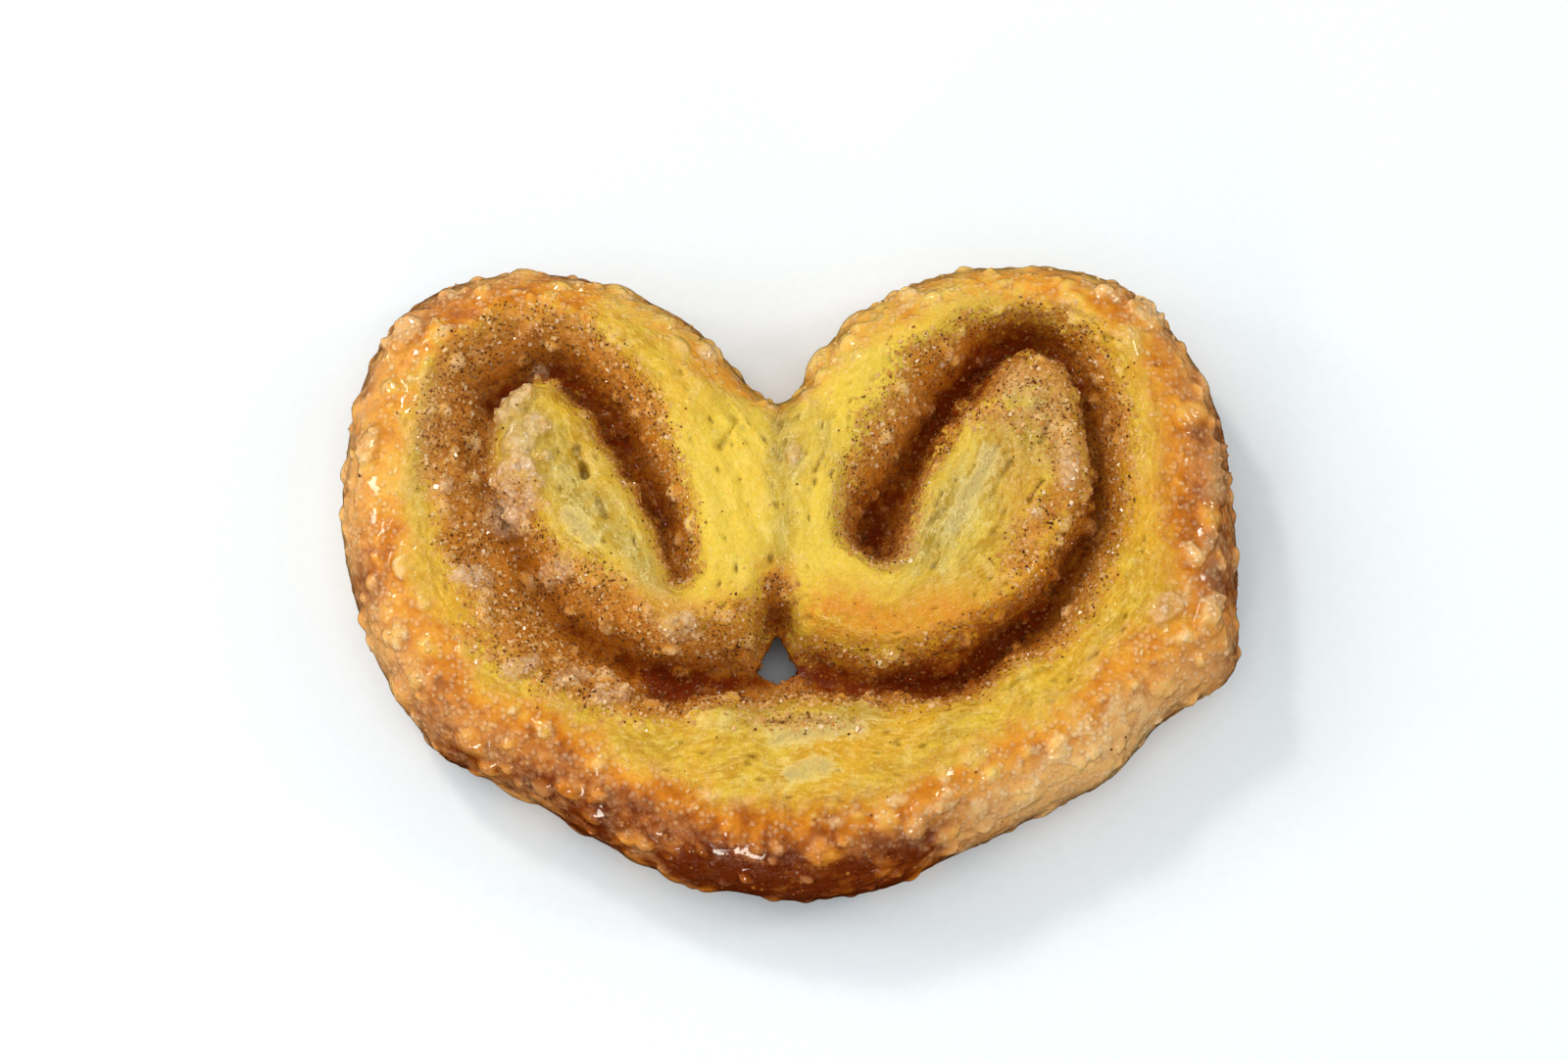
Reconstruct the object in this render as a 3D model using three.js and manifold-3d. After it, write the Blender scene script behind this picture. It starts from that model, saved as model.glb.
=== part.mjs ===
// A palmier: one strip of sugared, laminated dough, rolled in from both ends until the two
// scrolls meet, then sliced and baked lying on its cut face. It is baked as one piece, so the
// part is one solid: a rounded slab with a heart-like outline, the spiral groove of each scroll
// pressed into both cut faces, and the small gap that stays open where the scrolls touch the
// strip's middle.
//
// Millimetres, +Z up. The origin is at the middle of the outline, on the face it rests on.
// +X runs across both scrolls and +Y points at the notch between them.
import * as THREE from "three";
import { mergeVertices } from "three/addons/utils/BufferGeometryUtils.js";
import Module from "manifold-3d";

// Driving dimensions.
const THICKNESS = 16.5; // of the slice, on top of the strip's ridges
const WAIST = 0.42; // height of the widest level, as a share of the thickness
const SHOULDER = 0.17; // of the radius that the rounding of the upper edge takes
const HEEL = 0.07; // the same for the lower edge, which is flattened by the tray
const TOP_GROOVE = 6.8; // depth of the scroll grooves in the upper face
const BASE_GROOVE = 1.2; // and in the face that lay on the tray
const GROOVE_REACH = 5.2; // from the bottom of a groove to the top of the ridge beside it
const SEAM_SHARE = 0.3; // depth of the seam between the scrolls, as a share of the grooves'
const GAP_CLEARANCE = 2; // how far the cutter of the gap runs past both faces

// Mesh fineness.
const SPOKES = 120;
const TOP_RINGS = 19;
const EDGE_RINGS = 4;
const BASE_RINGS = 7;
const CURVE_SAMPLES = 720;
const GROOVE_SAMPLES = 200;
const SNAP = 1.15; // points this close to a groove's bottom are drawn in
const SNAP_SHARE = 0.85; // by this much of their distance, so that none of them meet

// The outline at the waist, anticlockwise from the right-hand side. The corner at the lower
// right is where the outermost layer has torn and stands away.
const OUTLINE = [
  [49.4, 2], [48.8, 10], [48, 17.5], [44.7, 25.2], [39.2, 32.2], [33, 35.2], [25, 35.8],
  [17, 35], [9.5, 31.5], [4.2, 27], [0.2, 20.8], [-2, 20], [-5, 23], [-10.6, 28.8],
  [-19, 33.2], [-29, 35.2], [-38.5, 33.4], [-44.5, 28.6], [-48, 21.5], [-49.8, 12],
  [-49.6, 3], [-47.2, -5.6], [-43, -13.4], [-38.2, -19.8], [-31, -23.7], [-24.5, -26.7],
  [-18.5, -30.6], [-8.7, -35], [1, -35.8], [9, -34.6], [17, -31.3], [25.5, -27],
  [35.2, -22], [40.3, -16.4], [47.6, -13], [49.6, -8.6],
];
const HUB = [0, -2]; // every point of the outline can be seen from here

// The bottom of each scroll's groove, from the gap outwards and in to the end of the strip.
const RIGHT_GROOVE = [
  [1, -10.8], [9.5, -12.6], [18, -11], [25.5, -6], [30.8, -0.8], [33.4, 7], [33.6, 16],
  [31.2, 23.6], [26.8, 26.6], [20.5, 23], [14.5, 15.5], [9.4, 4.6],
];
const LEFT_GROOVE = [
  [-3.6, -11.2], [-12.5, -12.6], [-21, -8.8], [-28, -1.2], [-32.3, 6.4], [-33.4, 15],
  [-31.4, 21.6], [-27.2, 23.4], [-21.6, 19], [-16, 10], [-11.8, 0.2],
];
const SEAM = [[-0.8, 19], [-0.6, 8], [-1.4, -3]];
const GAP = [[-1.5, -3.4], [-4, -11.6], [1.3, -11.6]]; // between the scrolls and the strip

const DOUGH = { color: 0xd9a441, roughness: 0.55, metalness: 0 };

function smooth(points, closed) {
  const knots = points.map(([x, y]) => new THREE.Vector3(x, y, 0));
  return new THREE.CatmullRomCurve3(knots, closed, "centripetal");
}

// The outline as distance from the hub against bearing, ready to interpolate.
function outlineRadius() {
  const seen = smooth(OUTLINE, true).getSpacedPoints(CURVE_SAMPLES).map((p) => {
    const x = p.x - HUB[0];
    const y = p.y - HUB[1];
    return { bearing: Math.atan2(y, x), radius: Math.hypot(x, y) };
  });
  seen.sort((a, b) => a.bearing - b.bearing);
  const first = { ...seen[0], bearing: seen[0].bearing + 2 * Math.PI };
  const last = { ...seen.at(-1), bearing: seen.at(-1).bearing - 2 * Math.PI };
  const round = [last, ...seen, first];
  return (bearing) => {
    const i = round.findIndex((s) => s.bearing > bearing);
    const a = round[i - 1];
    const b = round[i];
    const share = (bearing - a.bearing) / (b.bearing - a.bearing);
    return THREE.MathUtils.lerp(a.radius, b.radius, share);
  };
}

// The points along the bottoms of the grooves and the seam, each with its share of the depth.
function grooveBottoms() {
  const along = (points, share) =>
    smooth(points, false)
      .getSpacedPoints(GROOVE_SAMPLES)
      .map(({ x, y }) => ({ x, y, share }));
  return [...along(RIGHT_GROOVE, 1), ...along(LEFT_GROOVE, 1), ...along(SEAM, SEAM_SHARE)];
}

// Where a point of the plan lies once the grooves are pressed in: its place, and its depth,
// which is 1 at the bottom of a scroll's groove and 0 on the ridges.
function pressed(bottoms, x, y) {
  const near = { x, y, distance: SNAP, depth: 0 };
  for (const bottom of bottoms) {
    const distance = Math.hypot(bottom.x - x, bottom.y - y);
    const depth = bottom.share * (1 - THREE.MathUtils.smoothstep(distance, 0, GROOVE_REACH));
    near.depth = Math.max(near.depth, depth);
    if (distance < near.distance) Object.assign(near, { distance, bottom });
  }
  if (near.bottom) {
    near.x = THREE.MathUtils.lerp(x, near.bottom.x, SNAP_SHARE);
    near.y = THREE.MathUtils.lerp(y, near.bottom.y, SNAP_SHARE);
    near.depth = Math.max(near.depth, near.bottom.share);
  }
  return near;
}

// Half the section of a slab of unit radius and unit height, from the foot of its axis to the
// top: a flat base, a small rounding, the waist, a large rounding and a flat top.
function slabProfile() {
  const profile = [];
  for (let i = 0; i < BASE_RINGS; i += 1) profile.push(new THREE.Vector2(((1 - HEEL) * i) / BASE_RINGS, 0));
  for (let i = 0; i < EDGE_RINGS; i += 1) {
    const turn = ((Math.PI / 2) * i) / EDGE_RINGS;
    profile.push(new THREE.Vector2(1 - HEEL * (1 - Math.sin(turn)), WAIST * (1 - Math.cos(turn))));
  }
  for (let i = 0; i <= EDGE_RINGS; i += 1) {
    const turn = ((Math.PI / 2) * i) / EDGE_RINGS;
    profile.push(new THREE.Vector2(1 - SHOULDER * (1 - Math.cos(turn)), WAIST + (1 - WAIST) * Math.sin(turn)));
  }
  for (let i = TOP_RINGS - 1; i >= 0; i -= 1) profile.push(new THREE.Vector2(((1 - SHOULDER) * i) / TOP_RINGS, 1));
  return profile;
}

// The slab is turned on a lathe, then each of its points is moved out to the outline and
// pressed down, or up on the base, by the grooves.
function slice() {
  const radiusAt = outlineRadius();
  const bottoms = grooveBottoms();
  const geometry = new THREE.LatheGeometry(slabProfile(), SPOKES).rotateX(Math.PI / 2);
  const position = geometry.getAttribute("position");
  for (let i = 0; i < position.count; i += 1) {
    const share = Math.hypot(position.getX(i), position.getY(i));
    const bearing = Math.atan2(position.getY(i), position.getX(i));
    const height = position.getZ(i);
    const radius = share * radiusAt(bearing);
    const place = pressed(bottoms, HUB[0] + radius * Math.cos(bearing), HUB[1] + radius * Math.sin(bearing));
    const press = height > WAIST ? (-TOP_GROOVE * (height - WAIST)) / (1 - WAIST) : BASE_GROOVE * (1 - height / WAIST);
    position.setXYZ(i, place.x, place.y, height * THICKNESS + press * place.depth);
  }
  return geometry;
}

// The cutter of the gap: a rounded triangle that runs through both faces.
function gapCutter() {
  const corners = smooth(GAP, true).getPoints(GAP.length * 8).slice(0, -1);
  const shape = new THREE.Shape(corners.map((p) => new THREE.Vector2(p.x, p.y)));
  const depth = THICKNESS + 2 * GAP_CLEARANCE;
  return new THREE.ExtrudeGeometry(shape, { depth, bevelEnabled: false }).translate(0, 0, -GAP_CLEARANCE);
}

const wasm = await Module();
wasm.setup();

// A closed geometry as a solid that can be joined and cut.
function solid(geometry) {
  const bare = new THREE.BufferGeometry().setIndex(geometry.index);
  bare.setAttribute("position", geometry.getAttribute("position"));
  const merged = mergeVertices(bare, 1e-3);
  const corners = merged.index.array;
  const kept = [];
  for (let i = 0; i < corners.length; i += 3) {
    const [a, b, c] = corners.slice(i, i + 3);
    if (a !== b && b !== c && c !== a) kept.push(a, b, c); // the lathe's poles leave flat faces
  }
  const vertProperties = new Float32Array(merged.getAttribute("position").array);
  return new wasm.Manifold(new wasm.Mesh({ numProp: 3, vertProperties, triVerts: new Uint32Array(kept) }));
}

// A solid back as a geometry, centred over the origin.
function centred(body) {
  const mesh = body.getMesh();
  const geometry = new THREE.BufferGeometry();
  geometry.setAttribute("position", new THREE.BufferAttribute(mesh.vertProperties, 3));
  geometry.setIndex(new THREE.BufferAttribute(mesh.triVerts, 1));
  geometry.computeBoundingBox();
  const middle = geometry.boundingBox.getCenter(new THREE.Vector3());
  geometry.translate(-middle.x, -middle.y, -geometry.boundingBox.min.z);
  geometry.computeVertexNormals();
  return geometry;
}

const palmier = new THREE.Mesh(
  centred(solid(slice()).subtract(solid(gapCutter()))),
  new THREE.MeshStandardMaterial(DOUGH),
);
palmier.name = "palmier";

const part = new THREE.Group();
part.add(palmier);

export default part;
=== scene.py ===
import math

import bpy
import numpy as np
import openvdb
from mathutils import Matrix, Vector


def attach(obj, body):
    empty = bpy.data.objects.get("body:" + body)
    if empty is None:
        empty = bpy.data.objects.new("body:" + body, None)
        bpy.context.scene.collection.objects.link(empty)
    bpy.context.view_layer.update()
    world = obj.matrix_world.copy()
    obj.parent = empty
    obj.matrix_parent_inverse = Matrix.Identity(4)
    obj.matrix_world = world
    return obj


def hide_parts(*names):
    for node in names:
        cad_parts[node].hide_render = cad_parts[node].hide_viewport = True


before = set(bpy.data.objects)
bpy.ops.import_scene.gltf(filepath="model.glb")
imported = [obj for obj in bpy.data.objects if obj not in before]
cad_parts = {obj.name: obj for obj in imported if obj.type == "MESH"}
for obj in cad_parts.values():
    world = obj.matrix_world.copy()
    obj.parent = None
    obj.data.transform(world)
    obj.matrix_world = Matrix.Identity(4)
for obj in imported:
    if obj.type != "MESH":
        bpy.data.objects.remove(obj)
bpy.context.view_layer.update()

# The dough: a sheet of butter-laminated dough, spread with cinnamon sugar, rolled in from both
# ends until the scrolls met, and sliced across. It is baked lying on its cut face, so the edges
# of its leaves show on top, and the outer face of the sheet is the sugared crust of the side.
MM = 0.001
PITCH = 0.3  # of the grid that the dough's surface is drawn from
BAND = 3.0  # how far from the surface that grid still tells distances
TRIANGLES = 196000  # of that surface once its smooth places are thinned
THICKNESS = 16.1
WAIST = 6.8  # height at which the slice is widest
SHOULDER = 8.4  # reach of the rounding above the waist
HEEL = 3.2  # reach of the rounding below it
ROUNDING = 2.15  # exponent of both roundings: 2 is an ellipse
LEAST_RISE = 0.8  # of the top above the waist, at the bottom of the deepest crease
BASE = 0.3  # height of the flat underside before its texture is added
BASE_CREASE = 0.16  # how much of a crease's depth shows on the underside
BLISTER_ROOM = 0.6  # left above the smooth top for the blisters
BLISTER_SINK = 0.42  # how far the crust sinks between its blisters
BLISTER_RISE = 1.05  # from there to the top of the tallest

# The outline at the waist, anticlockwise from the right: x, y, how far in over the top the
# crust reaches, and how dark it is baked, from 0 to 1.
OUTLINE = [
    (49.5, 3.1, 8.5, 0.75), (48.9, 10, 8.5, 0.72), (48.3, 16.8, 8.5, 0.66), (44.9, 25.2, 7.5, 0.55),
    (39, 32.3, 7, 0.38), (35, 34.5, 6.5, 0.28), (30.1, 35.6, 6, 0.2), (25.3, 35.7, 5.5, 0.16),
    (20.7, 35.6, 5.5, 0.22), (16.4, 34.7, 5.5, 0.2), (12.3, 33.1, 5.5, 0.18), (8.4, 30.8, 5, 0.14),
    (5.2, 28.1, 5, 0.12), (2.3, 24.4, 4, 0.1), (0.2, 20.8, 2, 0.06), (-1.8, 20, 2, 0.08),
    (-3.9, 21.5, 4, 0.2), (-6.7, 24.8, 5, 0.3), (-10.6, 28.8, 5.5, 0.38), (-14.7, 31.3, 5.5, 0.4),
    (-19.2, 33.2, 5.5, 0.42), (-24.3, 34.6, 6, 0.42), (-29.5, 35, 7, 0.45), (-34.6, 34.4, 7.5, 0.5),
    (-39.4, 32.9, 8, 0.56), (-43.3, 30.1, 8, 0.52), (-46.1, 26.2, 7.5, 0.48), (-48.4, 20, 7.5, 0.45),
    (-49.4, 14, 7.5, 0.43), (-49.6, 5, 7.5, 0.45), (-48.4, -1.3, 7.5, 0.5), (-45.4, -9.6, 8, 0.5),
    (-43.1, -13.3, 8.5, 0.55), (-38.2, -19.8, 8.5, 0.66), (-34.4, -21.8, 8.5, 0.7),
    (-27.5, -25.3, 9, 0.68), (-22.1, -28.6, 9, 0.72), (-16.7, -31.3, 9, 0.8), (-11.3, -33.9, 8.5, 0.9),
    (-5.6, -34.9, 8.5, 0.9), (0.1, -35.8, 8.5, 0.94), (5.9, -35.3, 8.5, 0.92), (11.7, -34, 8.5, 0.85),
    (16.8, -31.4, 8.5, 0.66), (22.6, -28.8, 9, 0.48), (28.3, -25.8, 9, 0.36), (35.2, -22.3, 9, 0.38),
    (40.3, -16.7, 9, 0.47), (44.5, -13.8, 8.5, 0.52), (48.8, -10.6, 8, 0.6), (49.2, -5, 8, 0.7),
]

# The creases between the turns of the scrolls, from the gap outwards and in to the end of the
# strip: x, y, depth, how far the slopes outside and inside it reach, how far the cinnamon sugar
# reaches on each of them, and how far the syrup does.
RIGHT_CREASE = [
    (0.6, -10.5, 12.5, 6.5, 6, 3.8, 2.6, 2.2), (4.8, -11.6, 9, 5.5, 6, 3.8, 2.8, 2.2),
    (10.2, -12.6, 7.5, 5.5, 5.5, 3.4, 3, 2), (14.5, -12.4, 7.5, 5.5, 5, 3.6, 3.2, 2.6),
    (19.3, -10.5, 8, 6, 4.2, 4, 3.2, 3.2), (23.1, -7.9, 8, 6, 3.6, 4.3, 3, 3),
    (27.4, -4.7, 7.5, 6, 3.4, 4.5, 3, 2.6), (30.7, -1, 7.5, 6.2, 3.4, 4, 3.4, 1.8),
    (32.5, 2.9, 7, 6.2, 3.2, 3.5, 3, 1.6), (33.3, 7.3, 6.8, 6.2, 2.6, 3.6, 2, 1.4),
    (33.4, 11.8, 6.8, 6.2, 2.3, 3.8, 1.6, 1.3), (33, 16.2, 6.8, 6.2, 2.3, 4, 1.4, 1.4),
    (32.2, 20.1, 6.8, 6, 2.6, 4, 1.2, 1.6), (30.6, 23.2, 7, 6, 3.2, 3.6, 1.2, 1.4),
    (28.1, 25.6, 7.5, 6, 3.6, 3.2, 1.8, 2.2), (25.3, 26, 8, 6, 4, 3.4, 2.2, 2.8),
    (22, 24, 8, 6, 4.5, 4.4, 2.6, 3), (19.3, 21.5, 8, 6.5, 4.5, 5.2, 2.6, 3),
    (16.1, 17.6, 8, 7, 5, 5.8, 2.8, 3), (13.4, 13.4, 8, 7, 5, 5.6, 2.8, 2.8),
    (11.4, 9.5, 8, 6.5, 5.5, 5.2, 3, 2.8), (9.8, 6.2, 8.5, 6, 6, 4.6, 4, 3.6),
    (9.1, 4.2, 8.5, 6, 6, 4.4, 4.4, 3.8),
]
LEFT_CREASE = [
    (-3.3, -11.4, 12.5, 6.5, 6, 3.8, 4.5, 2), (-9.3, -11.8, 9, 5.5, 6, 4.2, 5.6, 2.2),
    (-13.4, -12.7, 8.5, 6, 6, 5, 6, 3), (-17.9, -10.8, 8, 7, 5.5, 7, 6, 2),
    (-22.2, -7.4, 7, 7.5, 5.5, 8, 5.4, 1.6), (-26.6, -2.9, 6.5, 7.5, 5, 8, 4.6, 1.2),
    (-29.8, 1.8, 6, 7, 5, 6.6, 3.2, 0.8), (-32.2, 6.2, 5.5, 7, 4.5, 6.4, 3, 0.2),
    (-33, 11.8, 5, 7.5, 4.2, 7.2, 1.2, -1), (-33, 16.8, 6.5, 7.5, 3.6, 7.4, 0.4, 0),
    (-32, 20.5, 8.5, 7, 3.4, 6.8, 0.6, 2.8), (-28.7, 23.5, 8.5, 6, 4.5, 5.6, 1.6, 2.2),
    (-24.9, 22.6, 8, 6, 4.5, 5.4, 2, 2.3), (-21.7, 19.3, 8, 6, 4.5, 5.4, 2.2, 2.3),
    (-18.8, 14.8, 8, 6, 4.5, 5.2, 2.2, 2.5), (-15.8, 9.5, 7.5, 5.5, 4.5, 4.4, 2.4, 2.1),
    (-13.4, 5.1, 7, 5, 4, 3.2, 1.8, 1.5), (-11.4, -0.1, 5, 4, 4, 1.8, 1.8, 0.7),
]
SOFTNESS = 0.1  # how rounded the bottom of a crease is, as a share of its slope
# The seam between the scrolls, from the notch to the gap: x, y, depth and reach of its sides.
SEAM = [
    (-0.8, 20, 1.2, 2.5), (-0.9, 12, 0.7, 2), (-1, 5, 0.7, 2), (-1.3, -1.5, 2.4, 3),
    (-1.4, -6, 10, 5.5), (-1.4, -11, 12.5, 6),
]
# The gap where both scrolls meet the strip: its middle, and half its width at each y, which is
# below 0 where it is closed. The waviness of the creases dies away around it.
GAP_X, GAP_Y = -1.4, -9
GAP_HALF_WIDTHS = [(-22, -6), (-11.8, 0), (-10.7, 2.2), (-7.4, 0.4), (3, -6)]
GAP_CALM = 4, 12
GAP_ROUNDING = 0.8
GAP_UNDERCUT = 0.4  # how much narrower it gets for each millimetre below the waist

# Soft strokes across the top: from x, y to x, y, radius and strength. First where it has sunk in.
PITS = [
    (-13.6, -13, -12.4, -12.6, 1.6, 4.5), (-32.8, 20.2, -31, 21, 1.5, 2.5), (9, 4, 9.5, 5, 1.8, 2),
    (21, -9.4, 24, -7.2, 1.2, 1),
]
# Where the crumb has split along its leaves.
CRACKS = [
    (-25.2, 16.6, -23.8, 13.4, 0.35, 1.1), (-22.9, 13.1, -21.8, 9.8, 0.4, 1.8),
    (-21.4, 7.4, -20.4, 5.2, 0.3, 0.9), (-17.6, 4, -16.6, 1, 0.3, 0.8),
    (29.5, 29, 34.8, 27.2, 0.3, 0.8), (34.6, 25.4, 37.2, 24.4, 0.25, 0.9),
    (26.4, 17.6, 27.8, 16.4, 0.4, 1), (20.8, 16, 22, 16.9, 0.35, 0.9), (22.8, 12, 23.8, 13, 0.35, 1),
    (27, 13.4, 27.8, 15.2, 0.35, 0.9), (25.8, 6.1, 27.1, 8.8, 0.3, 0.9),
    (21.8, 6.6, 24, 10.6, 0.3, 0.8), (14.5, 3.5, 18, 6.5, 0.3, 0.7), (-5, -17.9, 8, -18.3, 0.25, 0.7),
    (10, -19.6, 20, -15.4, 0.25, 0.6), (2.8, 10.2, 5.6, 15.8, 0.3, 0.7),
    (24, -14.4, 30, -9.6, 0.25, 0.6), (-8, 13, -6, 17, 0.3, 0.7),
]
# Large bubbles of the dough, cut open, with a thin film across them.
FILMS = [
    (-0.5, -22.6, 4, -22.2, 1.1, 0.85), (-2, -19.4, 7, -19, 1, 0.8), (-23.8, 5.6, -22, 2.4, 1, 0.9),
    (23, 20, 25.4, 22, 1.1, 1), (19.6, 7.4, 21.8, 11.6, 1.2, 1), (18, 4.2, 19.4, 6, 1.1, 0.9),
]
STAINED_FROM = 1.6  # the strength past which a stroke of the next list shows
# Where syrup has pooled outside the bottoms of the creases.
STAINS = [
    (-1.4, -4.6, -1.4, -9, 1.5, 3.6), (-14.2, -13.2, -12, -12.6, 1.8, 4.4), (8.8, 3.8, 9.6, 5, 2, 4.4),
    (-33, 20, -31, 20.8, 1.6, 3.6), (22, -9, 25, -6.6, 1.6, 3.4), (4, -11.6, 12, -12.8, 1, 3.2),
]
# Crust whose sugar has set cloudy.
MILK = [
    (17, -28, 28, -23, 3, 1), (30, -21, 43, -14, 4, 1.1), (46.5, -8, 47.5, 4, 2.6, 0.85),
    (47, 8, 46.6, 14, 2.2, 0.85), (-36, 33, -45, 24, 2.6, 0.65), (-47.6, 16, -47, 6, 2.2, 0.8),
    (33, 33, 40, 28, 2.2, 0.9), (-46, -4, -43, -9, 2.2, 0.7), (-21, -26, -15, -27, 1.8, 0.6),
    (6, -28, 12, -26, 1.6, 0.8), (5, 25, 18, 32.5, 2, 0.9), (-24, 33, -16, 31, 2, 0.8),
    (-13, 28, -6, 22, 1.6, 0.9), (42, -4, 43, -9, 2.4, 0.9),
]
# Lumps of sugar that have half melted, and stand up by the strength in millimetres.
HEAPS = [
    (-2.4, 19, -2.1, 17.4, 1.2, 0.5), (1.6, 19.8, 2, 17.4, 1.3, 0.5), (0.2, 12.8, 0.5, 11.6, 1.4, 0.5),
    (-30.6, 6.4, -29.6, 9, 2.5, 1.5), (-30.6, 17.6, -29.8, 19.2, 1.7, 1.1),
    (-29.6, 13.6, -28.2, 14.6, 2, 1), (-27, 11.4, -26.8, 11.8, 1, 0.8),
    (-28.2, 22.8, -27.9, 23.1, 0.9, 1.2), (-26, -0.8, -25, -0.4, 1.6, 0.9),
    (-35.2, -1.6, -33.8, -1.4, 1.7, 0.9), (-37.7, 8.2, -37.5, 9, 1, 0.8),
    (39, 29.2, 40, 28.2, 1.8, 0.9), (34.6, 31, 36, 31.4, 1.6, 0.8), (40, -5.6, 41, -4.8, 1.5, 0.8),
    (-43.4, 25, -42, 26.6, 1.6, 0.9), (-46.4, 12.4, -45.6, 14.6, 1.5, 0.8),
    (-29.6, -12, -28, -11.2, 1.5, 0.8), (-20, -14.6, -18.4, -14, 1.6, 0.8),
    (46.2, 8, 46.8, 13, 1.7, 0.9), (-24, -12.6, -22.6, -12, 1.5, 0.7), (-12.6, -7.4, -11, -7, 1.5, 0.7),
    (44, 1, 45.4, 3, 1.6, 0.9), (45, -7.5, 46, -4, 1.5, 0.8), (14, -27.5, 17, -26, 1.4, 0.8),
    (30, 9, 30.6, 12, 1.2, 0.7),
]
# Crumb that the syrup has soaked.
AMBER = [
    (4, -5.5, 20, -6.5, 3, 1), (20, -6.5, 29, -0.5, 2.2, 0.8), (-4, -6, -18, -5, 2.6, 0.7),
    (-33, 2, -29, -7, 2.6, 0.9), (-26, -6, -14, -15, 2, 0.6), (-36.6, 5.6, -35.8, 2.2, 1.9, 1.2),
    (-1.5, -1, -1.4, -5, 1.6, 1), (41, 19, 43, -6, 2.4, 0.7), (26, 2, 21, 22, 3, 0.35),
]
DUSTY_FROM = 1.9  # the strength past which a stroke of the next list shows
# Cinnamon sugar beyond the slopes of the creases.
DUSTY = [
    (20, 21, 28, 22, 2.6, 3.8), (28.5, 20, 31, 6, 2.8, 3.4), (24, 0, 30, 8, 2.4, 3.2),
    (21, 17, 27, 16, 2, 2.6), (-29.5, 8, -29, 1, 2.2, 3.2), (-27, -1, -16, -8, 2.2, 2.8),
    (-20, 17, -13, 4, 1.1, 2.6), (12, 8, 20, 19, 1.6, 2.8), (-3, -5, -10, -7, 2, 2.4),
    (6, -18, -6, -17.5, 1.6, 1.8), (-24, -14, -34, -8, 3, 2.6), (-1.4, -3, -1.4, -8, 2, 3.6),
]
# Crumb that has stayed pale and open.
PALE = [
    (-30.8, 19, -28.6, 13.5, 2.4, 1), (24, 21, 29, 13, 2.6, 0.8), (-25.5, 12, -14, -4, 2.6, 1),
    (15, 2, 27, 17, 4.2, 1), (-0.4, 21, 0, 11, 2.6, 0.9), (-1, 11, -1, 0, 1.6, 0.7),
    (3.5, 17, 6.5, 3, 1.5, 0.55), (-7, -17.6, 9, -17.4, 1.6, 0.6), (-39, 20, -41, 2, 1.6, 0.4),
    (6, 24, 16, 30, 2, 0.4),
]


def trace(points, closed=False, step=0.4):
    """A smooth curve through the points, as evenly spaced rows of the same columns."""
    knots = np.array(points, float)
    first, last = 0, len(points) - 1
    if closed:
        knots = np.vstack([knots[-2:], knots, knots[:3]])
        first, last = 2, len(points) + 2
    spans = np.linalg.norm(np.diff(knots[:, :2], axis=0), axis=1)
    at = np.concatenate([[0], np.cumsum(np.sqrt(spans))])
    slope = np.gradient(knots, at, axis=0)
    t = np.linspace(at[first], at[last], 60 * len(points))
    i = np.clip(np.searchsorted(at, t, side="right") - 1, first, last - 1)
    width = (at[i + 1] - at[i])[:, None]
    s = (t - at[i])[:, None] / width
    fine = (1 + 2 * s) * (1 - s) ** 2 * knots[i] + s * (1 - s) ** 2 * width * slope[i]
    fine += s**2 * (3 - 2 * s) * knots[i + 1] - s**2 * (1 - s) * width * slope[i + 1]
    run = np.concatenate([[0], np.cumsum(np.linalg.norm(np.diff(fine[:, :2], axis=0), axis=1))])
    even = np.arange(0, run[-1], step)
    return np.stack([np.interp(even, run, column) for column in fine.T], 1)


def nearest(curve, x, y):
    """Each place's distance from the curve, positive on the left of its run, and the row there."""
    place = np.stack([x, y], 1)
    parts = np.array_split(place, len(place) // 4096 + 1)
    which = np.concatenate([
        ((curve[:, 0] - part[:, :1]) ** 2 + (curve[:, 1] - part[:, 1:]) ** 2).argmin(1) for part in parts
    ])
    run = np.gradient(curve[:, :2], axis=0)[which]
    away = place - curve[which, :2]
    across = (run[:, 0] * away[:, 1] - run[:, 1] * away[:, 0]) / np.hypot(*run.T)
    beyond = (which == 0) | (which == len(curve) - 1)
    across = np.where(beyond, np.copysign(np.hypot(*away.T), across), across)
    return across, curve[which]


def strokes(marks, x, y):
    """How strongly each place is marked by soft strokes."""
    total = np.zeros_like(x)
    for x0, y0, x1, y1, radius, strength in marks:
        run = x1 - x0, y1 - y0
        share = np.clip(((x - x0) * run[0] + (y - y0) * run[1]) / (run[0] ** 2 + run[1] ** 2), 0, 1)
        gap = np.hypot(x - x0 - share * run[0], y - y0 - share * run[1])
        total = np.maximum(total, strength * np.exp(-((gap / radius) ** 2)))
    return total


def ease(value, low, high):
    """0 below low and 1 above high, with a smooth rise between them."""
    t = np.clip((value - low) / (high - low), 0, 1)
    return t * t * (3 - 2 * t)


def waves(places, seed):
    """Smooth noise from -1 to 1 with lumps about one unit wide."""
    table = np.random.default_rng(seed).uniform(-1, 1, (32, 32, 32))
    low = np.floor(places).astype(int)
    t = places - low
    t = t * t * (3 - 2 * t)
    total = np.zeros(len(places))
    for corner in np.ndindex(2, 2, 2):
        weight = np.where(corner, t, 1 - t).prod(1)
        total += weight * table[tuple(((low + corner) % 32).T)]
    return total


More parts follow.
